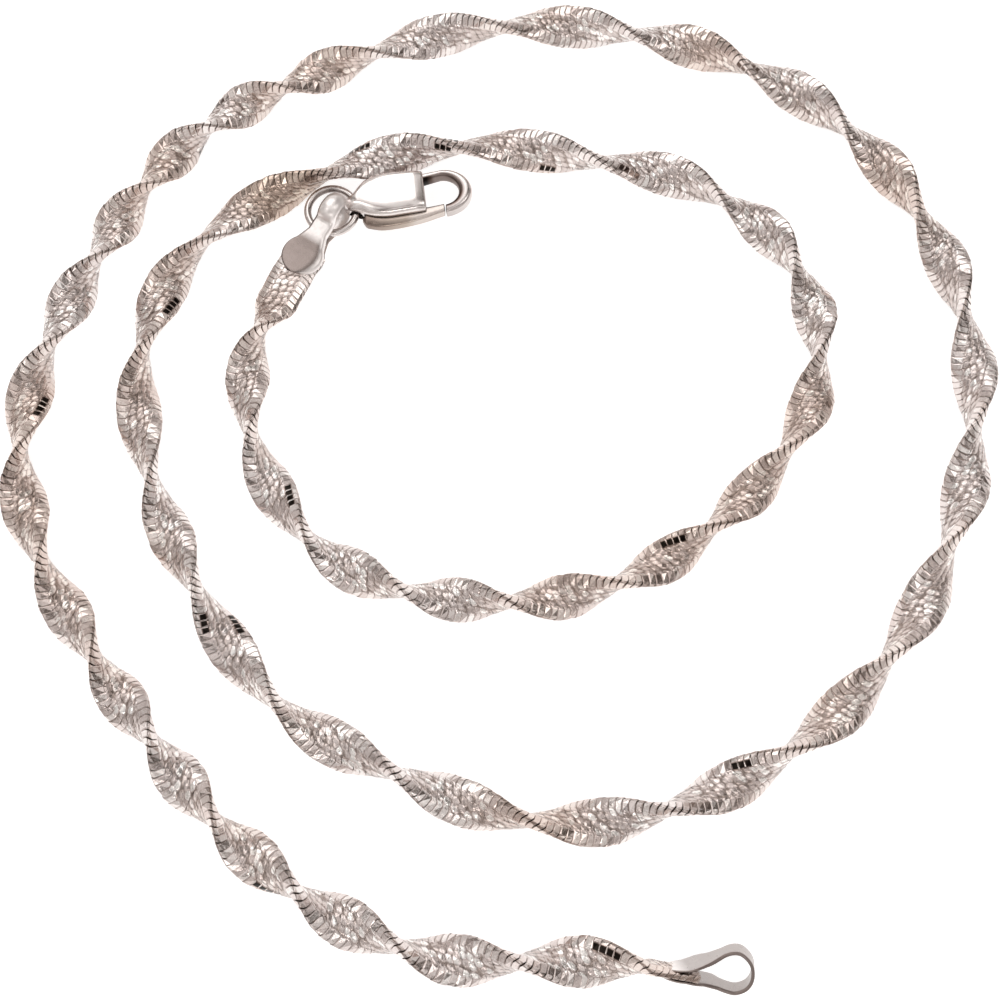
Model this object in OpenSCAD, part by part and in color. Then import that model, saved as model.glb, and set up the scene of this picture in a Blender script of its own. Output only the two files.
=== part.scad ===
/* [Band] */
// Width of the woven band
band_w = 3.4; // [2.8:0.1:3.6]
// Thickness of the woven band in its middle
band_t = 1.05; // [0.9:0.05:1.1]
// Width of the bevelled row of links along each edge
edge_w = 0.6; // [0.4:0.05:0.8]
// Height of the narrow land that is left at each edge
edge_land = 0.3; // [0.2:0.02:0.5]
// Facet rings along one full turn of the twist
rings_per_turn = 18; // [12:2:20]

/* [End tags] */
// Thickness of the folded sheet
sheet_t = 0.3; // [0.25:0.01:0.35]
// Width of the folded strip where it forms the loop
strip_w = 1.7; // [1.5:0.05:1.8]
// Diameter of the round leaf that grips the band
leaf_d = 3.2; // [3:0.1:3.2]
// Outer diameter of the loop
loop_d = 2.76; // [2.6:0.02:2.8]
// Distance from the neck to the middle of the loop
loop_reach = 2.4; // [2.3:0.05:2.6]
// Sideways bend of the loop at the free end, in degrees
loop_bend = 20; // [10:1:24]
// Direction of the tag at the clasp end, in degrees from +X
clasp_tag_turn = 68; // [67:1:69]

/* [Jump ring] */
// Outer diameter of the ring
ring_d = 4.6; // [4.5:0.05:4.7]
// Diameter of the ring's wire
wire_d = 0.6; // [0.5:0.05:0.65]
// Height of the middle of the wire
ring_z = 1.3; // [1.25:0.05:1.35]

/* [Clasp] */
// Thickness of the clasp's body
body_t = 2.6; // [2.4:0.1:2.8]
// Length of the body from the middle of the eye to its end face
body_len = 5.7; // [5.4:0.1:5.8]
// Height of the hook's bar
hook_h = 1.2; // [1:0.1:1.4]
// Height of the lever
lever_h = 1; // [0.8:0.1:1.1]
// Diameter of the hole across the tail
eye_d = 1.2; // [1.15:0.05:1.25]
// Diameter of the pin
pin_d = 0.6; // [0.5:0.05:0.7]
// Direction of the clasp, in degrees from +X
clasp_turn = 7; // [5:1:8]

/* [Hidden] */
$fn = 48;

// Clearances
gap = 0.03;
leaf_gap = 0.06;
fit = 0.01;
pin_play = 0.03;
slot_play = 0.08;

// Middle of the spiral that the band lies in
spiral = [-0.2, 5.25];

// The band is upright at every whole and half turn of its twist. One row for each full turn,
// and one between two turns where the band bends more sharply.
// Columns: turns of the twist so far, bearing clockwise from +Y, distance from the spiral's middle
TURNS = 0;
BEARING = 1;
REACH = 2;
ROUTE = [
    [-0.25, 161.5, 45.8],
    [0, 166.5, 43.7],
    [1, 189, 41.8],
    [2, 211, 38.6],
    [2.5, 222, 37.1],
    [3, 233.5, 36.6],
    [4, 260, 37.4],
    [5, 286, 34.4],
    [6, 310.5, 33.2],
    [7, 337, 31.4],
    [8, 376.5, 33.1],
    [8.5, 393.5, 34.8],
    [9, 409.5, 36.3],
    [10, 439, 37.4],
    [11, 469.5, 36.3],
    [12, 502.5, 35],
    [13, 536, 32.9],
    [13.5, 554, 30.5],
    [14, 573, 29.5],
    [14.5, 593.5, 27.9],
    [15, 612.5, 27.7],
    [15.5, 633.5, 28.3],
    [16, 653.5, 27.3],
    [16.5, 677.5, 23.6],
    [17, 705.5, 21.1],
    [17.5, 738.5, 20.7],
    [18, 765.5, 23.8],
    [18.5, 785.5, 25.7],
    [19, 803.5, 25.4],
    [20, 846, 19.8],
    [21, 898.5, 17.2],
    [22, 950, 19],
    [23, 1001, 19.6],
    [23.3, 1012.5, 19],
    [23.6, 1028.5, 19.2],
];

// Turns at which the band starts, starts to twist, is shared between its two halves,
// stops twisting and ends
start_turn = -0.185;
stiff_turn = 0.02;
share_turn = 12;
flat_turn = 23.25;
end_turn = 23.56;

// Lean of the band's width at a turn: upright at whole turns, and right-handed
function lean(turn) = 90 + 360 * min(max(turn, stiff_turn), flat_turn);

// Straight-line rate of change from one row of the route to the next
function rate(i, column) =
    (ROUTE[i + 1][column] - ROUTE[i][column]) / (ROUTE[i + 1][TURNS] - ROUTE[i][TURNS]);

// Rate of change at a row, weighted by the rows on both sides of it
function slope(i, column) =
    i == 0 ? rate(0, column)
    : i == len(ROUTE) - 1 ? rate(i - 1, column)
    : let (before = ROUTE[i][TURNS] - ROUTE[i - 1][TURNS],
           after = ROUTE[i + 1][TURNS] - ROUTE[i][TURNS])
      (rate(i, column) * before + rate(i - 1, column) * after) / (before + after);

// Row of the route that a turn follows
function row_of(turn, i = 0) =
    i == len(ROUTE) - 2 || turn < ROUTE[i + 1][TURNS] ? i : row_of(turn, i + 1);

// A column's value between two rows, as a cubic that keeps both slopes
function between(i, u, span, column) =
    (1 + 2 * u) * pow(1 - u, 2) * ROUTE[i][column]
    + u * pow(1 - u, 2) * span * slope(i, column)
    + u * u * (3 - 2 * u) * ROUTE[i + 1][column]
    + u * u * (u - 1) * span * slope(i + 1, column);

// Point at a bearing and a distance, at the height where the twisting band just clears the surface
centre_z = norm([band_w, edge_land]) / 2;
function point(bearing, reach) =
    [spiral.x + reach * sin(bearing), spiral.y + reach * cos(bearing), centre_z];

// Point of the band's centre line at a turn. It is straight from the first row to the second,
// where the leaves of the free tag hold it.
function centre(turn) =
    let (i = row_of(turn),
         span = ROUTE[i + 1][TURNS] - ROUTE[i][TURNS],
         u = (turn - ROUTE[i][TURNS]) / span)
    i == 0 ? (1 - u) * point(ROUTE[0][BEARING], ROUTE[0][REACH])
             + u * point(ROUTE[1][BEARING], ROUTE[1][REACH])
    : point(between(i, u, span, BEARING), between(i, u, span, REACH));

// Direction of the centre line at a turn
step = 0.01;
function direction(turn) =
    let (chord = centre(turn + step) - centre(turn - step)) chord / norm(chord);

// The band's section: half of it in its own width and thickness, the rest by symmetry
HALF_SECTION = [
    [band_w / 2, -edge_land / 2],
    [band_w / 2, edge_land / 2],
    [band_w / 2 - edge_w, band_t / 2],
    [-band_w / 2 + edge_w, band_t / 2],
];
SECTION = concat(HALF_SECTION, [for (p = HALF_SECTION) -p]);

// The section at a turn, carried to the centre line and leaned over with the twist
function section_at(turn) =
    let (ahead = direction(turn),
         side = [-ahead.y, ahead.x, 0],
         up = [0, 0, 1],
         wide = cos(lean(turn)) * side + sin(lean(turn)) * up,
         thick = cos(lean(turn)) * up - sin(lean(turn)) * side)
    [for (p = SECTION) centre(turn) + p.x * wide + p.y * thick];

// A stretch of the band as one closed skin of rings and two flat ends
module band(from, to) {
    count = ceil((to - from) * rings_per_turn);
    sides = len(SECTION);
    points = [for (k = [0 : count]) each section_at(from + (to - from) * k / count)];
    walls = [
        for (k = [0 : count - 1], j = [0 : sides - 1])
            let (next = (j + 1) % sides)
            each [
                [k * sides + j, k * sides + next, (k + 1) * sides + j],
                [k * sides + next, (k + 1) * sides + next, (k + 1) * sides + j],
            ]
    ];
    near_end = [[for (j = [sides - 1 : -1 : 0]) j]];
    far_end = [[for (j = [0 : sides - 1]) count * sides + j]];
    polyhedron(points, concat(walls, near_end, far_end), convexity = 20);
}

// Turn that passes while the band goes on by the small gap between its halves
share_gap = gap / norm(centre(share_turn + step) - centre(share_turn)) * step;

module chain_free_half() {
    color("silver") band(start_turn, share_turn - share_gap);
}

module chain_clasp_half() {
    color("silver") band(share_turn, end_turn);
}

// End tags: a strip of sheet folded into a loop, whose two round leaves grip the band
leaf_in = band_t / 2 + leaf_gap;
leaf_out = leaf_in + sheet_t;
leaf_len = leaf_d;
// How far the band stays short of the neck, at the free end and at the clasp
free_short = 0.1;
clasp_short = 1.2;

// Point where a line from a start point touches a circle, on the side that the sign gives
function touch(from, middle, radius, sign) =
    let (to = middle - from,
         aim = atan2(to.y, to.x) + sign * asin(radius / norm(to)),
         reach = sqrt(to * to - radius * radius))
    from + reach * [cos(aim), sin(aim)];

// Width of everything that a tag is cut from
blank_w = leaf_d + 2;

// A channel along the leaves that opens into a round eye, as wide as the blank
module loop_space(half, radius, bend, tail) {
    middle = loop_reach * [cos(bend), sin(bend)];
    upper = touch([0, half], middle, radius, 1);
    lower = touch([0, -half], middle, radius, -1);
    translate(middle) cylinder(h = blank_w, r = radius, center = true);
    linear_extrude(height = blank_w, center = true)
        polygon([[-tail, half], [0, half], upper, middle, lower, [0, -half], [-tail, -half]]);
}

// Plan of the sheet before it is folded: a round leaf that narrows into the strip
module flat_sheet() {
    neck_end = 0.6;
    reach = 2 * loop_reach;
    rotate([90, 0, 0]) {
        translate([leaf_d / 2 - leaf_len, 0, 0])
            cylinder(h = 4 * loop_d, d = leaf_d, center = true);
        linear_extrude(height = 4 * loop_d, center = true)
            polygon([
                [leaf_d / 2 - leaf_len, leaf_d / 2],
                [neck_end, strip_w / 2],
                [reach, strip_w / 2],
                [reach, -strip_w / 2],
                [neck_end, -strip_w / 2],
                [leaf_d / 2 - leaf_len, -leaf_d / 2],
            ]);
    }
}

// The tag with its neck at the origin, its loop towards +X and its sheet folded about Z
module tag(bend) {
    intersection() {
        difference() {
            loop_space(leaf_out, loop_d / 2, bend, leaf_len);
            loop_space(leaf_in, loop_d / 2 - sheet_t, bend, leaf_len + 1);
        }
        flat_sheet();
    }
}

// The free tag carries on along the straight start of the band
band_start = centre(start_turn);
free_tag_way = -direction(start_turn);
free_neck = band_start + free_short * free_tag_way;

module free_end_tag() {
    color("silver")
        translate(free_neck)
            rotate([0, 0, atan2(free_tag_way.y, free_tag_way.x)])
                rotate([90 - lean(start_turn), 0, 0])
                    tag(loop_bend);
}

clasp_tag_way = [cos(clasp_tag_turn), sin(clasp_tag_turn), 0];
clasp_neck = centre(end_turn) + clasp_short * clasp_tag_way;

module clasp_end_tag() {
    color("silver")
        translate(clasp_neck)
            rotate([0, 0, clasp_tag_turn])
                rotate([90, 0, 0])
                    tag(0);
}

// Jump ring: it lies level, through the loop of the tag and the eye of the clasp
ring_r = (ring_d - wire_d) / 2;
wire_past_neck = 0.9;
ring_middle = clasp_neck + (wire_past_neck + ring_r) * clasp_tag_way + [0.15, -0.05, 0];

module jump_ring() {
    color("silver")
        translate([ring_middle.x, ring_middle.y, ring_z])
            rotate_extrude()
                translate([ring_r, 0])
                    circle(d = wire_d);
}

// Clasp: its own frame has the eye's middle at the origin, its tip towards +X and its base at 0
eye_bearing = 9;
eye = [ring_middle.x + ring_r * cos(eye_bearing), ring_middle.y + ring_r * sin(eye_bearing), 0];
mid_z = body_t / 2;
tail_r = 0.9;
pin_at = [1.2, -0.45];

module at_clasp() {
    translate(eye) rotate([0, 0, clasp_turn]) children();
}

// A slab between two heights
module slab(low, high) {
    translate([0, 0, low]) linear_extrude(height = high - low) children();
}

// A rectangle from one corner to the other with round corners
module soft_rectangle(low, high, radius) {
    translate([low.x, low.y + radius]) square([high.x - low.x, high.y - low.y - 2 * radius]);
    translate([low.x + radius, low.y]) square([high.x - low.x - 2 * radius, high.y - low.y]);
    for (x = [low.x + radius, high.x - radius], y = [low.y + radius, high.y - radius])
        translate([x, y]) circle(radius);
}

// Plan of the body, from its narrow tail to its end face
BODY_PLAN = [
    [-1.2, -0.75],
    [-0.2, -0.8],
    [0.7, -1.2],
    [2.2, -1.5],
    [body_len, -1.3],
    [body_len, 2],
    [2.2, 2.1],
    [0.7, 1.55],
    [-0.2, 0.8],
    [-1.2, 0.75],
];

// Side view of the body: a round tail that rises to the full thickness
module body_side() {
    translate([0, mid_z]) circle(tail_r);
    polygon([
        [0, mid_z - tail_r],
        [1, 0],
        [body_len - 0.15, 0],
        [body_len, 0.15],
        [body_len, body_t - 0.15],
        [body_len - 0.15, body_t],
        [1, body_t],
        [0, mid_z + tail_r],
    ]);
}

// Hook: the outline between two ellipses, from the body round to the tip
hook_outer = [[7.3, 0.42], [2.17, 1.76]];
hook_inner = [[7.1, 0.46], [1.4, 1.27]];
hook_tip_angle = 92;
hook_tip_inner_angle = 78;
facet = 7;
function on_ellipse(e, a) = [e[0].x + e[1].x * cos(a), e[0].y + e[1].y * sin(a)];

module hook_plan() {
    polygon(concat(
        [[body_len - 0.6, 1.95]],
        [for (a = [90 : -facet : -hook_tip_angle]) on_ellipse(hook_outer, a)],
        [for (a = [-hook_tip_inner_angle : facet : 90]) on_ellipse(hook_inner, a)],
        [[body_len - 0.1, 1.5], [body_len - 0.6, 1.3]]
    ));
}

// Slot that the lever swings in, open at the side and at the end face
pivot_r = 0.5;
slot_r = pivot_r + slot_play;
slot_low = mid_z - lever_h / 2 - slot_play;
slot_high = mid_z + lever_h / 2 + slot_play;
slot_depth = 1.2;

module clasp_body() {
    color("gainsboro")
        at_clasp() {
            difference() {
                intersection() {
                    slab(0, body_t) polygon(BODY_PLAN);
                    rotate([90, 0, 0]) linear_extrude(height = 6, center = true) body_side();
                    rotate([90, 0, 90])
                        translate([0, 0, -2])
                            linear_extrude(height = 8)
                                soft_rectangle([-1.5, 0], [2.1, body_t], 0.55);
                }
                translate([0, 0, mid_z])
                    rotate([90, 0, 0])
                        cylinder(h = 4, d = eye_d, center = true);
                slab(-1, body_t + 1) translate(pin_at) circle(d = pin_d + 2 * fit);
                slab(slot_low, slot_high) translate(pin_at) circle(slot_r);
                slab(slot_low, slot_high)
                    polygon([
                        [pin_at.x - slot_r, -3],
                        [body_len + 1, -3],
                        [body_len + 1, slot_depth],
                        [pin_at.x, pin_at.y + slot_r],
                        [pin_at.x - slot_r, pin_at.y],
                    ]);
            }
            slab(mid_z - hook_h / 2, mid_z + hook_h / 2) hook_plan();
        }
}

// Lever: a flat arm that turns on the pin, with a thumb tab outside the body and a gate at its tip
LEVER_PLAN = [
    [pin_at.x, pin_at.y + pivot_r],
    [2.6, -0.45],
    [body_len, -0.85],
    [7.1, -0.72],
    [7.1, -1.24],
    [body_len, -1.6],
    [4, -1.85],
    [2.9, -2.02],
    [2.2, -2.05],
    [1.6, -1.85],
    [1, -1.3],
    [pin_at.x - pivot_r, pin_at.y],
];

module clasp_lever() {
    low = mid_z - lever_h / 2;
    high = mid_z + lever_h / 2;
    color("silver")
        at_clasp()
            difference() {
                union() {
                    slab(low, high) polygon(LEVER_PLAN);
                    slab(low, high) translate(pin_at) circle(pivot_r);
                }
                slab(low - 1, high + 1) translate(pin_at) circle(d = pin_d + 2 * pin_play);
            }
}

module clasp_pin() {
    color("gray")
        at_clasp()
            slab(0.05, body_t - 0.05) translate(pin_at) circle(d = pin_d);
}

chain_free_half();
chain_clasp_half();
free_end_tag();
clasp_end_tag();
jump_ring();
clasp_body();
clasp_lever();
clasp_pin();
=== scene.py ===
import math

import bpy
import numpy as np
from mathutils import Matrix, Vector


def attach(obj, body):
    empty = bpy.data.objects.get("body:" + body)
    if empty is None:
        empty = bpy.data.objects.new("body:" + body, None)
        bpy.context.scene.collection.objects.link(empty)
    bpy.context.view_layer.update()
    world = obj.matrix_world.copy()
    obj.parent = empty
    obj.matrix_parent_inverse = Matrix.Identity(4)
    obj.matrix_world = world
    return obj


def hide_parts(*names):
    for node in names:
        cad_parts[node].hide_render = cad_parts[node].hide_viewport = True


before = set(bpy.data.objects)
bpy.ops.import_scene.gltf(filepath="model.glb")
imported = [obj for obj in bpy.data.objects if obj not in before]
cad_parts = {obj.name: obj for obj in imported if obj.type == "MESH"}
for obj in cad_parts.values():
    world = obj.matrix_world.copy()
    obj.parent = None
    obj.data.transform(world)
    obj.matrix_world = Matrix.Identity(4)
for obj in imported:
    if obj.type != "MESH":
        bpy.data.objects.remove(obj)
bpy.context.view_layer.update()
MM = 0.001

# Camera: close above the chain, a little in front of it, as the photograph was taken.
# Its place and lens are in mm, and its tilt in degrees off straight down
CAMERA_PLACE = (-0.2, -22.82, 79.43)
CAMERA_TILT = 13.5
CAMERA_LENS = 37.8


def add_camera():
    """A camera whose view meets the surface 82 mm away, near the middle of the coil."""
    data = bpy.data.cameras.new("camera")
    data.sensor_width = 36
    data.lens = CAMERA_LENS
    data.clip_start = 0.005
    data.clip_end = 20
    camera = bpy.data.objects.new("camera", data)
    camera.location = [x * MM for x in CAMERA_PLACE]
    camera.rotation_euler = (math.radians(CAMERA_TILT), 0, 0)
    bpy.context.collection.objects.link(camera)
    bpy.context.scene.camera = camera


add_camera()


# Meshes
def new_piece(name, points, faces, finish, body="necklace", smooth=False):
    """A mesh object from arrays: points in mm, faces as a list of index arrays, one per face size.
    It sits at the origin and rides on a body."""
    mesh = bpy.data.meshes.new(name)
    corners = np.concatenate([f.ravel() for f in faces])
    totals = np.concatenate([np.full(len(f), f.shape[1]) for f in faces])
    starts = np.concatenate([[0], np.cumsum(totals)[:-1]])
    mesh.vertices.add(len(points))
    mesh.vertices.foreach_set("co", (points * MM).astype(np.float32).ravel())
    mesh.loops.add(len(corners))
    mesh.loops.foreach_set("vertex_index", corners.astype(np.int32))
    mesh.polygons.add(len(totals))
    mesh.polygons.foreach_set("loop_start", starts.astype(np.int32))
    mesh.polygons.foreach_set("loop_total", totals.astype(np.int32))
    mesh.polygons.foreach_set("use_smooth", np.broadcast_to(smooth, len(totals)).copy())
    mesh.update(calc_edges=True)
    mesh.materials.append(finish)
    piece = bpy.data.objects.new(name, mesh)
    bpy.context.collection.objects.link(piece)
    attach(piece, body)
    return piece


def carry(name, rings, finish, body="necklace", joined=False, flat=()):
    """A skin over rings of points in mm: each ring is joined to the next, and the last to the
    first if joined, or else the two ends are closed flat. The columns named in flat keep hard
    edges. Faces are turned outwards by the sign of the volume they enclose."""
    rows, around = rings.shape[:2]
    number = np.arange(rows * around).reshape(rows, around)
    near, far = (number, np.roll(number, -1, 0)) if joined else (number[:-1], number[1:])
    walls = np.stack([near, np.roll(near, -1, 1), np.roll(far, -1, 1), far], -1)
    points = rings.reshape(-1, 3)
    a, b, c, d = np.moveaxis(points[walls] - points.mean(0), 2, 0)
    outwards = np.sum(np.cross(c - a, d - b) * (a + b + c + d)) > 0
    faces = [walls.reshape(-1, 4)]
    smooth = np.broadcast_to(~np.isin(np.arange(around), list(flat)), near.shape).ravel()
    if not joined:
        faces.append(np.stack([number[0, ::-1], number[-1]]))
        smooth = np.append(smooth, [False, False])
    if not outwards:
        faces = [f[:, ::-1] for f in faces]
    return new_piece(name, points, faces, finish, body, smooth)


def unwrap(piece, layout):
    """Gives a piece a UV map from one (u, v) per point."""
    mesh = piece.data
    corners = np.empty(len(mesh.loops), np.int32)
    mesh.loops.foreach_get("vertex_index", corners)
    layer = mesh.uv_layers.new(name="weave")
    layer.data.foreach_set("uv", layout[corners].astype(np.float32).ravel())


def mark(piece, name, values):
    """Gives a piece one number per point under a name that its finish can read."""
    layer = piece.data.attributes.new(name, "FLOAT", "POINT")
    layer.data.foreach_set("value", values.astype(np.float32).ravel())


def turned(points, axis, angle):
    """Points turned about a coordinate axis, in degrees."""
    a = math.radians(angle)
    one, other = [(1, 2), (2, 0), (0, 1)][axis]
    result = points.copy()
    result[..., one] = math.cos(a) * points[..., one] - math.sin(a) * points[..., other]
    result[..., other] = math.sin(a) * points[..., one] + math.cos(a) * points[..., other]
    return result


def ease_ends(x, low, high, ease_low, ease_high):
    """1 along a piece, falling to 0 at its two ends along quarter circles."""
    ends = np.minimum((x - low) / ease_low, (high - x) / ease_high)
    return np.sqrt(1 - (1 - np.clip(ends, 0.002, 1)) ** 2)


def lens(angle, power):
    """Unit superellipse: each coordinate is a cosine or sine raised to 2 / power."""
    c, s = np.cos(angle), np.sin(angle)
    return np.sign(c) * np.abs(c) ** (2 / power), np.sign(s) * np.abs(s) ** (2 / power)


def spread(low, high, count):
    """Values from low to high that crowd towards both ends."""
    return low + (high - low) * (1 - np.cos(np.linspace(0, math.pi, count))) / 2


# Shader maths
class Signal:
    """A socket's value in an expression. Each operator adds the Math node that works it out."""

    def __init__(self, recipe, socket):
        self.recipe = recipe
        self.socket = socket

    def math(self, operation, *others):
        inputs = dict(enumerate([self, *others]))
        return self.recipe.add("ShaderNodeMath", {"operation": operation}, inputs)

    def reflected(self, operation, first):
        return self.recipe.add("ShaderNodeMath", {"operation": operation}, {0: first, 1: self})

    def __add__(self, other):
        return self.math("ADD", other)

    def __radd__(self, other):
        return self.reflected("ADD", other)

    def __sub__(self, other):
        return self.math("SUBTRACT", other)

    def __rsub__(self, other):
        return self.reflected("SUBTRACT", other)

    def __mul__(self, other):
        return self.math("MULTIPLY", other)

    def __rmul__(self, other):
        return self.reflected("MULTIPLY", other)

    def __truediv__(self, other):
        return self.math("DIVIDE", other)

    def __pow__(self, other):
        return self.math("POWER", other)

    def clamped(self):
        return self.math("MAXIMUM", 0).math("MINIMUM", 1)

    def ramp(self, zero, one):
        """0 at the first value and 1 at the second, straight between them and level beyond."""
        return ((self - zero) * (1 / (one - zero))).clamped()


class Recipe:
    """The node tree of one material or world."""

    def __init__(self, owner):
        owner.use_nodes = True
        self.owner = owner
        self.tree = owner.node_tree
        self.tree.nodes.clear()

    def add(self, kind, settings=None, inputs=None, output=0):
        """A node of that type, with its settings made first, then its sockets filled or linked."""
        made = self.tree.nodes.new(kind)
        for name, value in (settings or {}).items():
            if name == "stops":
                self.lay_stops(made.color_ramp, value)
            else:
                setattr(made, name, value)
        for name, value in (inputs or {}).items():
            if isinstance(value, Signal):
                self.tree.links.new(value.socket, made.inputs[name])
            else:
                made.inputs[name].default_value = value
        return Signal(self, made.outputs[output]) if len(made.outputs) else made

    def lay_stops(self, ramp, stops):
        """Sets a colour ramp's stops from pairs of a position and a colour."""
        while len(ramp.elements) < len(stops):
            ramp.elements.new(1)
        for element, (position, colour) in zip(ramp.elements, stops):
            element.position = position
            element.color = (*colour, 1)

    def surface(self, inputs):
        """Ends a material in a Principled shader with these sockets."""
        shader = self.add("ShaderNodeBsdfPrincipled", None, inputs)
        self.add("ShaderNodeOutputMaterial", None, {"Surface": shader})
        return self.owner


# The band's route. Columns: turns of the twist, bearing clockwise from +Y, distance from the
# spiral's middle in mm
ROUTE = np.array([
    [-0.25, 161.5, 45.8], [0, 166.5, 43.7], [1, 189, 41.8], [2, 211, 38.6],
    [2.5, 222, 37.1], [3, 233.5, 36.6], [4, 260, 37.4], [5, 286, 34.4],
    [6, 310.5, 33.2], [7, 337, 31.4], [8, 376.5, 33.1], [8.5, 393.5, 34.8],
    [9, 409.5, 36.3], [10, 439, 37.4], [11, 469.5, 36.3], [12, 502.5, 35],
    [13, 536, 32.9], [13.5, 554, 30.5], [14, 573, 29.5], [14.5, 593.5, 27.9],
    [15, 612.5, 27.7], [15.5, 633.5, 28.3], [16, 653.5, 27.3], [16.5, 677.5, 23.6],
    [17, 705.5, 21.1], [17.5, 738.5, 20.7], [18, 765.5, 23.8], [18.5, 785.5, 25.7],
    [19, 803.5, 25.4], [20, 846, 19.8], [21, 898.5, 17.2], [22, 950, 19],
    [23, 1001, 19.6], [23.3, 1012.5, 19], [23.6, 1028.5, 19.2],
])
SPIRAL = np.array([-0.2, 5.25])

# Turns at which the band starts, starts to twist, is shared between its two halves, stops
# twisting and ends
START_TURN, STIFF_TURN, SHARE_TURN, FLAT_TURN, END_TURN = -0.185, -0.006, 12, 23.25, 23.56

# The band's width, its thickness in the middle, the land along its edges, and the height at which
# it just clears the surface, in mm
BAND_W, BAND_T, EDGE_LAND = 3.4, 1.05, 0.3
CENTRE_Z = math.hypot(BAND_W, EDGE_LAND) / 2


def slopes(table, column):
    """Rate of change at each row of a table: the mean of the rates before and after it, each
    weighted by the length of the other's span."""
    spans = np.diff(table[:, 0])
    rates = np.diff(table[:, column]) / spans
    middle = (rates[1:] * spans[:-1] + rates[:-1] * spans[1:]) / (spans[:-1] + spans[1:])
    return np.concatenate([rates[:1], middle, rates[-1:]])


def between(table, at, column):
    """A table's column at any value of its first one: cubics that keep the slope at each row."""
    row = np.clip(np.searchsorted(table[:, 0], at, side="right") - 1, 0, len(table) - 2)
    span = table[row + 1, 0] - table[row, 0]
    u = (at - table[row, 0]) / span
    slope = slopes(table, column)
    return (
        (1 + 2 * u) * (1 - u) ** 2 * table[row, column]
        + u * (1 - u) ** 2 * span * slope[row]
        + u * u * (3 - 2 * u) * table[row + 1, column]
        + u * u * (u - 1) * span * slope[row + 1]
    )


def centre(turn):
    """Points of the centre line. The first span is straight."""

    def point(bearing, reach):
        b = np.radians(bearing)
        return np.stack([SPIRAL[0] + reach * np.sin(b), SPIRAL[1] + reach * np.cos(b)], -1)

    ends = point(ROUTE[:2, 1], ROUTE[:2, 2])
    u = ((turn - ROUTE[0, 0]) / (ROUTE[1, 0] - ROUTE[0, 0]))[..., None]
    bent = point(between(ROUTE, turn, 1), between(ROUTE, turn, 2))
    flat = np.where(u < 1, (1 - u) * ends[0] + u * ends[1], bent)
    return np.concatenate([flat, np.full((*flat.shape[:-1], 1), CENTRE_Z)], -1)


def band_way(turn):
    """Direction of the centre line."""
    step = 0.01
    ahead = centre(turn + step) - centre(turn - step)
    return ahead / np.linalg.norm(ahead, axis=-1, keepdims=True)


def band_frame(turn):
    """Centre, width direction and thickness direction of the band: the width leans from the
    horizontal by 90 degrees plus 360 degrees a turn, right-handed."""
    ahead = band_way(turn)
    side = np.stack([-ahead[..., 1], ahead[..., 0], np.zeros(turn.shape)], -1)
    up = np.array([0, 0, 1.0])
    lean = np.radians(90 + 360 * np.clip(turn, STIFF_TURN, FLAT_TURN))[..., None]
    wide = np.cos(lean) * side + np.sin(lean) * up
    thick = np.cos(lean) * up - np.sin(lean) * side
    return centre(turn), wide, thick


# Turn of the twist against length along the band
FINE_TURNS = np.linspace(START_TURN, END_TURN, 9000)
FINE_LENGTHS = np.concatenate([
    [0], np.cumsum(np.linalg.norm(np.diff(centre(FINE_TURNS), axis=0), axis=-1))
])
BAND_LENGTH = FINE_LENGTHS[-1]
SHARE_LENGTH = np.interp(SHARE_TURN, FINE_TURNS, FINE_LENGTHS)
BAND_START, BAND_END = centre(np.array([START_TURN, END_TURN]))

# Links along the band, each about 0.46 mm long, and the pebbles that show in its middle
LINK_COUNT = round(BAND_LENGTH / 0.46)
LINK_PITCH = BAND_LENGTH / LINK_COUNT
PEBBLE_LONG, PEBBLE_WIDE = 0.56, 0.52

# Painted shade: beside the ring the neighbouring round of the band is painted browner, where the
# clasp shades it. The place is in metres
SHADED_PLACE = (-0.0178, 0.0224, 0.0017)

# How far the UV map sets the band's lower face apart from its upper one, in mm
UNDER = 10


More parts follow.
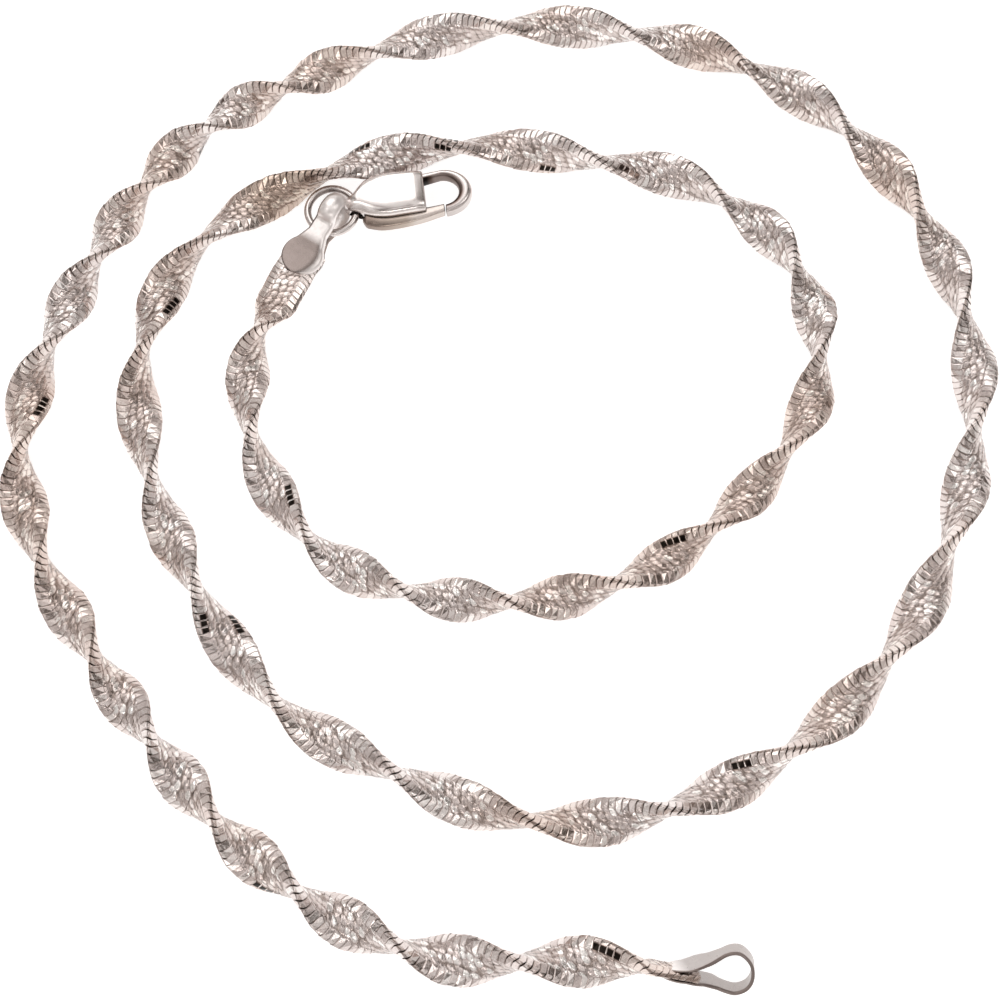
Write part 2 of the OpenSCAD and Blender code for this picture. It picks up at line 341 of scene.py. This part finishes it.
# Finishes
def woven_silver():
    """Woven links: bright pebbles in the middle of the band, plain mirror facets along its edges.
    Their colour holds painted light and shade: a highlight on each pebble, shade in the grooves
    and round each pebble, dark reflections on short runs of facets, and shade beside the ring.
    The UV map holds lengths along and across the band in mm, and "crest" is 1 on top of a link
    and near 0 down in the groove beside it."""
    r = Recipe(bpy.data.materials.new("woven_silver"))
    uv = r.add("ShaderNodeUVMap", {"uv_map": "weave"})
    along = r.add("ShaderNodeSeparateXYZ", None, {0: uv}, output=0)
    across = r.add("ShaderNodeSeparateXYZ", None, {0: uv}, output=1)
    crest = r.add("ShaderNodeAttribute", {"attribute_name": "crest"}, None, output=2)
    grain = r.add(
        "ShaderNodeTexNoise",
        {"noise_dimensions": "2D"},
        {"Vector": uv, "Scale": 5.5, "Detail": 2, "Roughness": 0.6},
    )
    # Distance from the middle line, the same on both faces; 1 in the middle, 0 along the edges
    place = (across + UNDER / 2).math("MODULO", UNDER) - UNDER / 2
    edge = place.math("ABSOLUTE")
    middle = edge.ramp(0.98, 0.73)
    tip = edge.ramp(1.35, 1.55)
    # Pebbles: uneven cells, each with its own tone and its own slight tilt, and a painted
    # highlight that makes each brighter towards its heart, and some nearly white
    x, y = along / PEBBLE_LONG, across / PEBBLE_WIDE
    cells = {
        "Vector": r.add("ShaderNodeCombineXYZ", None, {0: x, 1: y}),
        "Scale": 1,
        "Randomness": 0.65,
    }
    flat = {"voronoi_dimensions": "2D"}
    reach = r.add("ShaderNodeTexVoronoi", flat, cells)
    chance = r.add("ShaderNodeTexVoronoi", flat, cells, output=1)
    heart = r.add("ShaderNodeTexVoronoi", flat, cells, output=2)
    u = x - r.add("ShaderNodeSeparateXYZ", None, {0: heart}, output=0)
    v = y - r.add("ShaderNodeSeparateXYZ", None, {0: heart}, output=1)
    own = r.add("ShaderNodeSeparateColor", None, {0: chance}, output=0)
    tilt_u = r.add("ShaderNodeSeparateColor", None, {0: chance}, output=1) - 0.5
    tilt_v = r.add("ShaderNodeSeparateColor", None, {0: chance}, output=2) - 0.5
    dome = (1.05 - reach * reach * 2.4).clamped() ** 0.7
    # Painted highlight: the brightest pebbles, lightest at their heart
    painted_glint = own.ramp(0.66, 0.827)
    pebble = (0.2 * own + painted_glint * 0.5) * dome - 0.05
    # Bars: each link has its own tone along the edges, and here and there a short run is painted
    # near black: a painted dark reflection on its crests, with lighter lines between its bars
    link = (along / LINK_PITCH).math("FLOOR")
    bar = r.add("ShaderNodeTexWhiteNoise", {"noise_dimensions": "1D"}, {"W": link})
    group = (link / 3.6).math("FLOOR") + place.math("SIGN") * 0.3
    run = r.add("ShaderNodeTexWhiteNoise", {"noise_dimensions": "1D"}, {"W": group})
    dark_reflection = run.ramp(0.95, 0.9786) * (1 - middle) * edge.ramp(1.5, 1.375)
    # Tone: pebbles and bars, with painted shade down in the grooves, deepest near the edges, and
    # round the rim of each pebble
    low = (1 - crest) * (0.42 - middle * 0.4 + tip * 0.4) + (1 - dome) * middle * 0.45
    shade = 0.36 + grain * 0.26 + pebble * middle + bar * 0.26 * (1 - middle)
    # Painted dark reflection: the crests of a black run go near black, and the grooves between
    # them lighter
    shade = shade * (1 - low) * (1 - dark_reflection * 0.96 * crest.ramp(0.6, 0.85))
    shade = (shade + dark_reflection * (1 - crest) * 0.5).clamped()
    tones = [
        (0.03, (0.015, 0.012, 0.01)),
        (0.08, (0.13, 0.09, 0.075)),
        (0.3, (0.45, 0.38, 0.35)),
        (0.55, (0.68, 0.605, 0.583)),
        (0.85, (0.88, 0.845, 0.82)),
    ]
    colour = r.add("ShaderNodeValToRGB", {"stops": tones}, {0: shade})
    # Tarnish: broad warm patches; and painted shade: the brown place beside the ring, where the
    # clasp shades the band
    spot = r.add("ShaderNodeTexCoord", None, None, output=3)
    zone = r.add("ShaderNodeTexNoise", None, {"Vector": spot, "Scale": 70, "Detail": 1})
    apart = {"operation": "DISTANCE"}
    shade_by_ring = r.add("ShaderNodeVectorMath", apart, {0: spot, 1: SHADED_PLACE}, output=1)
    tint = {"data_type": "RGBA", "blend_type": "MULTIPLY"}
    for share, tone in (
        (zone.ramp(0.45, 0.65), (0.91, 0.84, 0.79, 1)),
        (shade_by_ring.ramp(0.0054, 0.0027), (0.77, 0.68, 0.6, 1)),
    ):
        colour = r.add("ShaderNodeMix", tint, {0: share, 6: colour, 7: tone}, output=2)
    height = (dome * 0.9 + (tilt_u * u + tilt_v * v) * 1.1) * middle
    height = height + grain * (0.08 + middle * 0.12)
    bump = {"Strength": 1, "Distance": 0.00008, "Height": height}
    return r.surface({
        "Base Color": colour,
        "Metallic": 1,
        "Roughness": 0.12 + grain * 0.1 + middle * 0.05,
        "Normal": r.add("ShaderNodeBump", None, bump),
    })


def plain_silver(name, light, dark, depth=0.00002, rough=0.2):
    """Cast or rolled silver: a soft change of tone, fine scuffs in the roughness and a slight
    unevenness. One number per point makes it brighter, partly from wear and partly as a painted
    sheen; another paints shade on it, brown, and over 1 nearly black."""
    r = Recipe(bpy.data.materials.new(name))
    place = r.add("ShaderNodeTexCoord", None, None, output=3)
    broad = r.add("ShaderNodeTexNoise", None, {"Vector": place, "Scale": 420, "Detail": 3})
    fine = r.add("ShaderNodeTexNoise", None, {"Vector": place, "Scale": 3000, "Detail": 4})
    sheen_and_wear = r.add("ShaderNodeAttribute", {"attribute_name": "worn"}, None, output=2)
    recess = r.add("ShaderNodeAttribute", {"attribute_name": "recess"}, None, output=2)
    colour = (*dark, 1)
    for share, tone in (
        (broad.ramp(0.1875, 0.8125), light),
        # Brighter where worn, and where a sheen is painted
        ((sheen_and_wear * (0.7 + fine * 0.6)).clamped(), (0.9, 0.85, 0.83)),
        # Painted shade: brown, and over 1 nearly black
        ((recess * (0.7 + broad * 0.6)).clamped(), (0.13, 0.085, 0.07)),
        (recess.ramp(1, 1.333), (0.012, 0.009, 0.008)),
    ):
        mixed = {0: share, 6: colour, 7: (*tone, 1)}
        colour = r.add("ShaderNodeMix", {"data_type": "RGBA"}, mixed, output=2)
    bump = {"Strength": 0.5, "Distance": depth, "Height": broad * 0.7 + fine * 0.3}
    return r.surface({
        "Base Color": colour,
        "Metallic": 1,
        "Roughness": rough + (fine - 0.5) * (0.5 * rough) + (recess + sheen_and_wear) * 0.12,
        "Normal": r.add("ShaderNodeBump", None, bump),
    })


WOVEN = woven_silver()
POLISHED = plain_silver("polished_silver", (0.82, 0.77, 0.75), (0.7, 0.64, 0.62))
# The lever's finish is a darker, browner copy of the polished silver: painted shade where it lies
# in the shell's slot
LEVER = plain_silver("lever_silver", (0.56, 0.47, 0.41), (0.4, 0.33, 0.28), depth=0.00003)
SHEET = plain_silver("tag_silver", (0.26, 0.215, 0.2), (0.225, 0.185, 0.17), rough=0.26)

# One link, at stations from the middle of the band to its edge. Columns: distance across, half
# thickness, half width of its crest, how deep the groove beside it runs, half width down in the
# groove, how far its upper face lags along the band (the lower face leads by as much), how much it
# widens where the band lies flat, how uneven its crest is, how much it thickens at the free end
HALF_LINK = np.array([
    [0, BAND_T / 2, 0.228, 0.01, 0.23, 0, 0, 0.12, 0],
    [0.5, BAND_T / 2, 0.228, 0.01, 0.23, 0.18, 0, 0.12, 0],
    [1.0, BAND_T / 2, 0.165, 0.07, 0.225, 0.36, 0, 0.25, 0],
    [1.48, 0.29, 0.16, 0.09, 0.205, 0.25, 0.1, 0.15, 0.6],
    [BAND_W / 2, 0.14, 0.15, 0.06, 0.18, 0.12, 0.22, 0.1, 2],
])
OTHER_SIDE = [-1, 1, 1, 1, 1, -1, 1, 1, 1]
LINK = np.concatenate([HALF_LINK[:0:-1] * OTHER_SIDE, HALF_LINK])

# The most that a crest corner sinks and slips along the band, that a station wanders across it,
# and that a link's end falls short of the edge, in mm
SINK, SLIP, WANDER, SHORT = 0.16, 0.03, 0.08, 0.06

# Where a tag grips the band: its share of the full thickness, and the distances from the end
# at which it starts to thicken and is full. At the free end: how long the blunt stretch is, and
# how far the end is moved over to lie between the tag's leaves
GRIPPED, GRIP_FULL, GRIP_GONE = 0.63, 1.8, 4.8
BLUNT_LONG, MOVED_OVER = 3.5, 0.3


def weave(name, first, last, seed, node):
    """Links side by side between two lengths. Each is a bar with eight corners round it, carried
    across the band through the stations of LINK: along = its own place + the corner's offset
    - lag * height / half thickness, so a bar makes a slight S on each face and its ends slant
    where they wrap round the edge. The gaps between the ends of the bars close where the band
    lies flat. The band is thinner where a tag grips it, and its free end is blunt and moved
    over. Crest corners rise and fall at random, so each stretch of crest is its own facet."""
    random = np.random.default_rng(seed)
    places = np.arange(first, last) * LINK_PITCH + LINK_PITCH / 2
    shape = (len(places), len(LINK), 8)
    across, half, crest, groove, foot, lag, closing, rough, blunt = LINK.T
    rough = rough[:, None]

    # The corners go round a bar: two on its crest, two down in the groove, and so on below
    crests = np.isin(np.arange(8), [0, 1, 4, 5])
    along = np.stack([-crest, crest, foot, foot], -1)
    along = np.concatenate([along, -along], -1)
    height = np.stack([half, half, half - groove, groove - half], -1)
    height = np.concatenate([height, -height], -1)
    slant = lag[:, None] * height / half[:, None]
    # 1 where the band lies flat, 0 where it stands on its edge
    lean = 2 * math.pi * np.interp(places, FINE_LENGTHS, FINE_TURNS)
    lying = np.abs(np.sin(lean))[:, None, None]
    along = along * (1 + lying * closing[:, None])
    length = along - slant

    # The two ends of the band
    from_end = np.minimum(places, BAND_LENGTH - places)
    grip = np.interp(from_end, [GRIP_FULL, GRIP_GONE], [GRIPPED, 1])[:, None, None]
    free_end = np.interp(places, [0, BLUNT_LONG], [1, 0])[:, None, None]
    height = height * (grip * (1 + free_end * blunt[:, None]))

    # Every link differs a little
    across = np.broadcast_to(across[None, :, None], shape).copy()
    height -= np.sign(height) * crests * random.uniform(0, SINK, shape) * rough
    length = length + crests * random.uniform(-SLIP, SLIP, shape) * (rough > 0.12)
    across += random.uniform(-WANDER, WANDER, (*shape[:2], 1)) * (np.abs(across) < 1)
    across -= np.sign(across) * (np.abs(across) > 1.6) * random.uniform(0, SHORT, (shape[0], 1, 1))

    length = np.clip(places[:, None, None] + length, 0, BAND_LENGTH)
    middle, wide, thick = band_frame(np.interp(length, FINE_LENGTHS, FINE_TURNS))
    height += MOVED_OVER * free_end
    points = middle + across[..., None] * wide + height[..., None] * thick
    number = np.arange(points.size // 3).reshape(shape)
    near, far = number[:, :-1], number[:, 1:]
    walls = np.stack([near, np.roll(near, -1, 2), np.roll(far, -1, 2), far], -1)
    caps = np.concatenate([number[:, 0, ::-1], number[:, -1]])
    piece = new_piece(name, points.reshape(-1, 3), [walls.reshape(-1, 4), caps], WOVEN)
    under = (np.arange(8) > 3) * UNDER
    layout = np.stack([places[:, None, None] + along, across + under], -1)
    unwrap(piece, layout.reshape(-1, 2))
    mark(piece, "crest", np.where(crests, 1, 0.15 * lying * (closing > 0)[:, None]))
    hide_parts(node)


share_row = round(SHARE_LENGTH / LINK_PITCH)
weave("woven_free_half", 0, share_row, 11, "chain_free_half")
weave("woven_clasp_half", share_row, LINK_COUNT, 12, "chain_clasp_half")

# Tags: a strip of thin sheet folded into a loop, whose two round leaves grip the band
SHEET_HALF, LEAF_R, STRIP_HALF, TAPER_LONG = 0.12, 1.68, 0.85, 2.2

# Middle line of each folded sheet from the neck, along the band and across its thickness
FREE_FOLD = np.array([
    [-2.4, 0.3], [-2.08, 0.35], [-1.5, 0.5], [-0.85, 0.7], [-0.08, 1.1], [0.67, 1.48],
    [1.34, 1.95], [1.71, 2.23], [2.16, 2.44], [2.63, 2.49], [3.08, 2.3], [3.48, 1.93],
    [3.66, 1.46], [3.65, 0.87], [3.44, 0.44], [3.02, 0.1], [2.57, -0.07], [2.09, -0.07],
    [1.67, -0.02], [0.93, 0.1], [0.29, 0.1], [-0.69, -0.05], [-1.39, -0.18], [-2.4, -0.3],
])
CLASP_FOLD = np.array([
    [-3.32, 0.52], [-1.6, 0.5], [-0.3, 0.52], [0.5, 0.56], [1.2, 0.62], [1.85, 0.74], [2.13, 1.06],
    [2.45, 1.26], [2.95, 1.3], [3.5, 1.12], [3.95, 0.66], [4.12, 0], [3.95, -0.66], [3.5, -1.12],
    [2.8, -1.26], [1.9, -1.2], [1.2, -1.0], [0.6, -0.76], [-0.3, -0.54], [-1.6, -0.5],
    [-3.32, -0.52],
])
# Points round the sheet's section: across each face, then round each edge
FACE_POINTS, EDGE_POINTS = 9, 7


def fold_path(fold):
    """An even, smooth line through a fold's points: each coordinate as cubics of the length."""
    reach = np.concatenate([[0], np.cumsum(np.linalg.norm(np.diff(fold, axis=0), axis=-1))])
    table = np.column_stack([reach, fold])
    even = np.linspace(0, reach[-1], 170)
    return np.stack([between(table, even, k) for k in (1, 2)], -1)


def folded_tag(name, fold, tilt, heading, neck, edge, swell=0, curl=0, shear=(0, 0)):
    """Across the path the sheet is as wide as its plan: a circle, then a taper to the strip. Its
    section has edges rounded over a width of edge, and it swells outwards round the loop:
    swell * (1 - (across / half width)^2). Outside the loop one side curls inwards:
    curl * (across / half width)^8. The loop may lean over sideways: shear * height."""
    path = fold_path(fold)
    along = np.gradient(path, axis=0)
    along /= np.linalg.norm(along, axis=-1, keepdims=True)
    outward = np.stack([-along[:, 1], along[:, 0]], -1)
    x = path[:, :1]
    past = x - fold[0, 0] - LEAF_R
    circle = np.sqrt(np.clip(LEAF_R**2 - past**2, 0.0004, None))
    taper = LEAF_R + past * (STRIP_HALF - LEAF_R) / TAPER_LONG
    half = np.where(past < 0, circle, np.maximum(np.maximum(circle, taper), STRIP_HALF))
    edge = np.minimum(edge, half)
    face = (half - edge) * np.linspace(-1, 1, FACE_POINTS)
    corner = np.radians(np.linspace(67.5, -67.5, EDGE_POINTS))
    bend = half - edge + edge * np.cos(corner)
    across = np.concatenate([face, bend, face[:, ::-1], -bend[:, ::-1]], 1)
    side = across / half
    loop = np.interp(x, [1.4, 2.2], [0, 1])
    flat = np.ones(FACE_POINTS)
    lift = np.concatenate([flat, np.sin(corner), -flat, np.sin(corner[::-1])])
    lift = SHEET_HALF * np.interp(x, [-1, 1], [0.5, 1]) * lift
    lift = lift + swell * loop * (1 - side**2) - curl * (1 - loop) * side.clip(0) ** 8
    plan = path[:, None] + lift[..., None] * outward[:, None]
    rings = turned(np.concatenate([plan, across[..., None]], -1), 0, tilt)
    rings = turned(rings, 2, heading)
    rings[..., :2] += np.array(shear) * rings[..., 2:] * np.interp(x, [-1, 1], [0, 1])[..., None]
    return carry(name, rings + neck, SHEET), x, side


def around_sheet(outer, rim, inner):
    """One number for each point round the sheet's section, by where it lies."""
    counts = [FACE_POINTS, EDGE_POINTS, FACE_POINTS, EDGE_POINTS]
    return np.repeat([outer, rim, inner, rim], counts)


def free_end_tag():
    """Its loop leans over. It is brighter on its leaves, partly from wear and partly as a painted
    sheen, and has painted shade along its edges.
    """
    way = -band_way(np.array(START_TURN))
    heading = math.degrees(math.atan2(way[1], way[0]))
    neck = BAND_START + 0.1 * way
    tag, x, side = folded_tag(
        "tag_free_end", FREE_FOLD, -360 * STIFF_TURN, heading, neck, edge=0.08,
        shear=(-0.22, -0.14),
    )
    # Brighter on the leaves: wear, and a painted sheen
    mark(tag, "worn", np.interp(x, [-1.8, -0.8], [1, 0.26]) + 0 * side)
    # Painted shade along the sheet's rounded edges
    mark(tag, "recess", around_sheet(0, 0.6, 0) + 0 * x)
    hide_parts("free_end_tag")


def clasp_end_tag():
    """It has painted highlights: bright round its loop and along the side that curls inwards."""
    heading = 59
    neck = BAND_END + 0.87 * turned(np.array([1.0, 0, 0]), 2, heading)
    tag, x, side = folded_tag(
        "tag_clasp_end", CLASP_FOLD, 90, heading, neck, edge=0.2, swell=0.35, curl=0.32
    )
    # Painted highlights along the curled side and round the loop
    bright_side = np.interp(side, [0.75, 0.875], [0, 1]) * around_sheet(1, 1, 0)
    bright_loop = np.interp(x, [-0.4, 0.36], [0, 0.95]) * around_sheet(1, 0, 1)
    mark(tag, "worn", bright_loop + bright_side)
    mark(tag, "recess", 0 * side)
    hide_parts("clasp_end_tag")


free_end_tag()
clasp_end_tag()

# Jump ring, and the height of the middle of the ring and the clasp
RING_R, WIRE_R = 2, 0.3
MID_Z = 1.3
RING_MIDDLE = np.array([BAND_END[0] + 1.69, BAND_END[1] + 3.7, MID_Z])


def jump_ring():
    """A round wire carried round a level circle, with painted shade that makes it browner round
    its inside.
    """
    turn = np.radians(np.arange(0, 360, 3))[:, None]
    roll = np.radians(np.arange(0, 360, 15))
    reach = RING_R + WIRE_R * np.cos(roll)
    rings = np.stack(
        [reach * np.cos(turn), reach * np.sin(turn), WIRE_R * np.sin(roll) + 0 * turn], -1
    )
    piece = carry("ring_wire", rings + RING_MIDDLE, POLISHED, joined=True)
    # Painted shade round the inside of the wire
    mark(piece, "recess", np.clip(-0.1 - np.cos(roll), 0.16, 0.65) + 0 * turn)
    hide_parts("jump_ring")


jump_ring()

# Clasp, in its own frame: the eye's middle at the origin, the tip towards +X. The ring passes
# through the eye at a bearing of 9 degrees from the ring's middle
EYE_BEARING, CLASP_TURN = math.radians(9), 7
EYE = RING_MIDDLE + RING_R * np.array([math.cos(EYE_BEARING), math.sin(EYE_BEARING), 0])
EYE[2] = 0
EYE_R = 0.56

# Columns: distance from the eye, sides, half height, squareness of the section, slot's bottom
BODY = np.array([
    [-1, -0.42, 0.42, 0.6, 2.2, 0.1],
    [-0.6, -0.58, 0.66, 0.9, 2.2, 0.3],
    [0, -0.76, 1.15, 1.16, 2.5, 0.55],
    [0.4, -0.92, 1.6, 1.23, 2.8, 0.4],
    [0.9, -1.2, 2.0, 1.27, 3.2, 0],
    [1.5, -1.38, 2.18, 1.29, 3.8, 0.1],
    [2.3, -1.5, 2.34, 1.3, 4.4, 0.25],
    [4, -1.46, 2.36, 1.3, 4.8, 0.7],
    [4.95, -1.4, 2.28, 1.29, 5, 0.95],
    [5.7, -1.34, 2.2, 1.13, 5, 1.2],
])
BODY_START, BODY_END = BODY[[0, -1], 0]
SLOT_START, SLOT_HALF = 0.6, 0.58
# How far from the end face its edge starts to round, and how far it rounds inwards
ROUND_LONG, ROUND_DEEP = 0.15, 0.12
# Points round the section: over the outside, then in the slot
OUTSIDE_POINTS, SLOT_POINTS = 61, 8

# The hook's outline: the middle and the two radii of its outer and inner ellipse, where the bar
# starts inside the body, and half its height
HOOK_OUTER = np.array([[7.25, 0.36], [2.36, 1.96]])
HOOK_INNER = np.array([[7.1, 0.46], [1.4, 1.27]])
OUTER_START, INNER_START = [5.1, 2.12], [5.1, 1.3]
HOOK_HALF = 0.6

# Columns: distance from the eye, sides
LEVER_SIDES = np.array([
    [0.4, -1.55, -1.15],
    [0.6, -1.8, -1],
    [0.8, -1.92, -0.6],
    [1.1, -2.03, 0.03],
    [1.6, -2.18, -0.1],
    [2.2, -2.25, -0.36],
    [2.9, -2.24, -0.52],
    [4, -2.15, -0.64],
    [5.7, -1.87, -0.85],
    [6.5, -1.66, -0.8],
    [7.2, -1.5, -0.72],
])
LEVER_START, LEVER_END = LEVER_SIDES[[0, -1], 0]
LEVER_HALF = 0.5
PIN_PLACE, PIN_R, PIN_LOW, PIN_HIGH = (1.2, -0.45), 0.3, 0.12, 2.48


def in_clasp(rings):
    """Takes points from the clasp's own frame to their place beside the ring."""
    return turned(rings, 2, CLASP_TURN) + EYE


def shell_rings():
    """Superelliptic sections along the clasp. The near side is cut back between two lips: round
    the eye, where half the opening is sqrt(radius^2 - x^2), and then as a slot. Also returns how
    much painted shade each point gets: full in the slot, and a little near the end face."""
    x = np.concatenate([
        spread(BODY_START, 0, 22)[:-1], np.linspace(0, 1.3, 26)[:-1], np.linspace(1.3, 4.9, 19),
        [5], np.linspace(5.05, 5.55, 6), [5.62, 5.67, 5.695, BODY_END],
    ])
    low, high, tall, square, floor = (between(BODY, x, k)[:, None] for k in range(1, 6))
    x = x[:, None]
    nose = ease_ends(x, BODY_START, 99, 0.45, 1)
    near_end = np.interp(x, [BODY_END - ROUND_LONG, BODY_END], [0, 1])
    rim = ROUND_DEEP * (1 - np.sqrt(1 - near_end**2))
    middle, wide = (low + high) / 2, (high - low) / 2 * nose - rim
    tall = tall * nose - rim
    opening = np.sqrt(np.clip(EYE_R**2 - x**2, 0.0001, None))
    slot = np.where(x < SLOT_START + 0.01, opening, SLOT_HALF)
    slot = np.minimum(slot, tall * 0.75)
    lip = math.pi - np.arcsin((slot / tall) ** (square / 2))
    c, s = lens(lip * np.linspace(1, -1, OUTSIDE_POINTS), square)
    y, z = middle + wide * c, tall * s
    edge = y[:, -1:]
    shut = (np.abs(x - SLOT_START) < 0.04) | (x < -EYE_R)
    depth = np.where(shut, edge + 0.02, np.maximum(floor, edge + 0.02))
    # Round the slot: in along its lower wall, up its bottom and out along its upper wall
    inward = np.array([0.34, 0.67, 1, 1, 1, 1, 0.67, 0.34])
    level = np.array([-1, -1, -1, -0.33, 0.33, 1, 1, 1])
    y = np.concatenate([y, edge + (depth - edge) * inward], 1)
    z = np.concatenate([z, slot * level], 1)
    # Painted shade: full in the slot, and a little near the end face
    in_slot = np.repeat([0.0, 1.0], [OUTSIDE_POINTS, SLOT_POINTS])
    return np.stack([x + 0 * y, y, z + MID_Z], -1), in_slot + np.interp(x, [4.9, 5], [0, 0.1])


def bow(ellipse, last_angle, start):
    """An outline from a start point to the ellipse's top and round to its last angle."""
    angle = np.radians(spread(90, last_angle, 46))
    curve = ellipse[0] + ellipse[1] * np.stack([np.cos(angle), np.sin(angle)], -1)
    lead = start + np.linspace(0, 1, 6)[:-1, None] * (curve[0] - start)
    return np.concatenate([lead, curve])


def hook_rings():
    """An oval section carried round between two ellipses, with a blunt tip. Also returns how much
    painted shade each point gets: on the inside of the hook, more so at its root and towards its
    tip."""
    outer, inner = bow(HOOK_OUTER, -90, OUTER_START), bow(HOOK_INNER, -83, INNER_START)
    middle, half = (outer + inner) / 2, (outer - inner) / 2
    past = np.concatenate([[0], np.cumsum(np.linalg.norm(np.diff(middle, axis=0), axis=-1))])
    tip = ease_ends(past, -9, past[-1], 1, 0.06)[:, None, None]
    c, s = lens(np.radians(np.arange(0, 360, 10)), 2.7)
    plan = middle[:, None] + half[:, None] * c[:, None] * tip
    rise = np.broadcast_to(MID_Z + HOOK_HALF * s[:, None] * tip, (len(plan), len(s), 1))
    # Painted shade: inside the hook, at its root and towards its tip
    inside = np.interp(-c, [-0.1, 0.4625], [0, 0.9])
    root = np.interp(middle[:, :1], [6.15, 6.5], [0.5, 0]) * np.clip(-2 * c, 0, 1)
    to_tip = 0.8 * np.clip(past[:, None] / past[-1] - 0.55, 0, 1)
    return np.concatenate([plan, rise], -1), inside + root + to_tip


def clasp_body():
    """Two closed skins: the shell, and the hook that starts inside its end."""
    slot_columns = range(OUTSIDE_POINTS - 1, OUTSIDE_POINTS + SLOT_POINTS)
    for name, (rings, recess), flat in (
        ("clasp_shell", shell_rings(), slot_columns),
        ("clasp_hook", hook_rings(), ()),
    ):
        piece = carry(name, in_clasp(rings), POLISHED, flat=flat)
        mark(piece, "recess", recess)
        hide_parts("clasp_body")


def clasp_lever():
    """Superelliptic sections between the lever's two sides, eased to a round end at both. It has
    painted shade, brown on its inner side and near its pin, and is brighter with wear towards its
    tip."""
    x = spread(LEVER_START, LEVER_END, 64)[:, None]
    low, high = between(LEVER_SIDES, x, 1), between(LEVER_SIDES, x, 2)
    ease = ease_ends(x, LEVER_START, LEVER_END, 0.4, 0.06)
    c, s = lens(np.radians(np.arange(0, 360, 8)), 3.6)
    y = (low + high) / 2 + (high - low) / 2 * ease * c
    z = MID_Z + LEVER_HALF * ease * s
    rings = np.stack([x + 0 * y, y, z], -1)
    piece = carry("lever_arm", in_clasp(rings), LEVER, "lever")
    # Painted shade on the inner side and near the pin
    behind = np.clip((c - 0.3) * 1.5, 0, 0.8)
    mark(piece, "recess", behind + np.interp(x, [0.45, 3.6], [0.75, 0.05]))
    mark(piece, "worn", np.interp(x, [4, 4.875], [0, 0.35]) + 0 * c)
    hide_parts("clasp_lever")


def clasp_pin():
    """A rivet with round ends: a circle carried up, eased at both ends."""
    z = spread(PIN_LOW, PIN_HIGH, 20)[:, None]
    turn = np.radians(np.arange(0, 360, 15))
    r = PIN_R * ease_ends(z, PIN_LOW, PIN_HIGH, 0.15, 0.15)
    x, y = PIN_PLACE
    rings = np.stack([x + r * np.cos(turn), y + r * np.sin(turn), z + 0 * turn], -1)
    piece = carry("pin_rivet", in_clasp(rings), SHEET)
    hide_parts("clasp_pin")


clasp_body()
clasp_lever()
clasp_pin()


# Floor, lights and surroundings
def add_floor():
    """A plain pale surface, evenly lit."""
    mesh = bpy.data.meshes.new("floor")
    reach = 1.5
    corners = [(-reach, -reach, 0), (reach, -reach, 0), (reach, reach, 0), (-reach, reach, 0)]
    mesh.from_pydata(corners, [], [(0, 1, 2, 3)])
    r = Recipe(bpy.data.materials.new("pale_floor"))
    mesh.materials.append(
        r.surface({
            "Base Color": (0.6, 0.6, 0.6, 1),
            "Roughness": 0.9,
            "Emission Color": (1, 0.995, 0.99, 1),
            "Emission Strength": 0.78,
        })
    )
    floor = bpy.data.objects.new("floor", mesh)
    bpy.context.collection.objects.link(floor)


def add_light(name, place, size, power, colour):
    """A soft rectangular light at a place in mm, turned towards the origin."""
    data = bpy.data.lights.new(name, "AREA")
    data.shape = "RECTANGLE"
    data.size, data.size_y = size[0] * MM, size[1] * MM
    data.energy = power
    data.color = colour
    light = bpy.data.objects.new(name, data)
    light.location = [x * MM for x in place]
    light.rotation_euler = (-Vector(place)).to_track_quat("-Z", "Y").to_euler()
    bpy.context.collection.objects.link(light)


def add_surroundings():
    """A warm grey room, lighter overhead, with dark patches and small bright windows all round
    above a plain pale skirting."""
    world = bpy.data.worlds.new("surroundings")
    bpy.context.scene.world = world
    r = Recipe(world)
    way = r.add("ShaderNodeTexCoord", None, None, output=0)
    rise = r.add("ShaderNodeSeparateXYZ", None, {0: way}, output=2)
    blotches = r.add("ShaderNodeTexNoise", None, {"Vector": way, "Scale": 4, "Detail": 1})
    patches = r.add("ShaderNodeTexNoise", None, {"Vector": way, "Scale": 3.1, "Detail": 0})
    windows = r.add("ShaderNodeTexVoronoi", None, {"Vector": way, "Scale": 7})
    above = rise.ramp(0.18, 0.305)
    level = (rise * 0.4 + 0.72 + ((blotches - 0.5) * 0.7 - 0.2) * above).clamped()
    level = level * (1 - patches.ramp(0.4633, 0.38) * 0.9 * above)
    level = level + windows.ramp(0.27, 0.1867) * 1.1 * above
    tones = [(0, (1, 0.78, 0.66)), (0.6, (1, 0.95, 0.92)), (1, (1, 0.99, 0.98))]
    colour = r.add("ShaderNodeValToRGB", {"stops": tones}, {0: level})
    back = r.add("ShaderNodeBackground", None, {"Color": colour, "Strength": level})
    r.add("ShaderNodeOutputWorld", None, {"Surface": back})


add_floor()
add_light("over_left", (-175, 15, 325), (90, 120), 0.055, (1, 0.99, 0.97))
add_light("over_right", (190, 60, 320), (70, 120), 0.048, (1, 0.98, 0.96))
add_light("front", (0, -260, 240), (160, 40), 0.08, (1, 0.97, 0.95))
add_light("behind", (-85, 255, 290), (250, 260), 0.26, (1, 1, 1))
add_surroundings()
bpy.context.scene.view_settings.view_transform = "Standard"
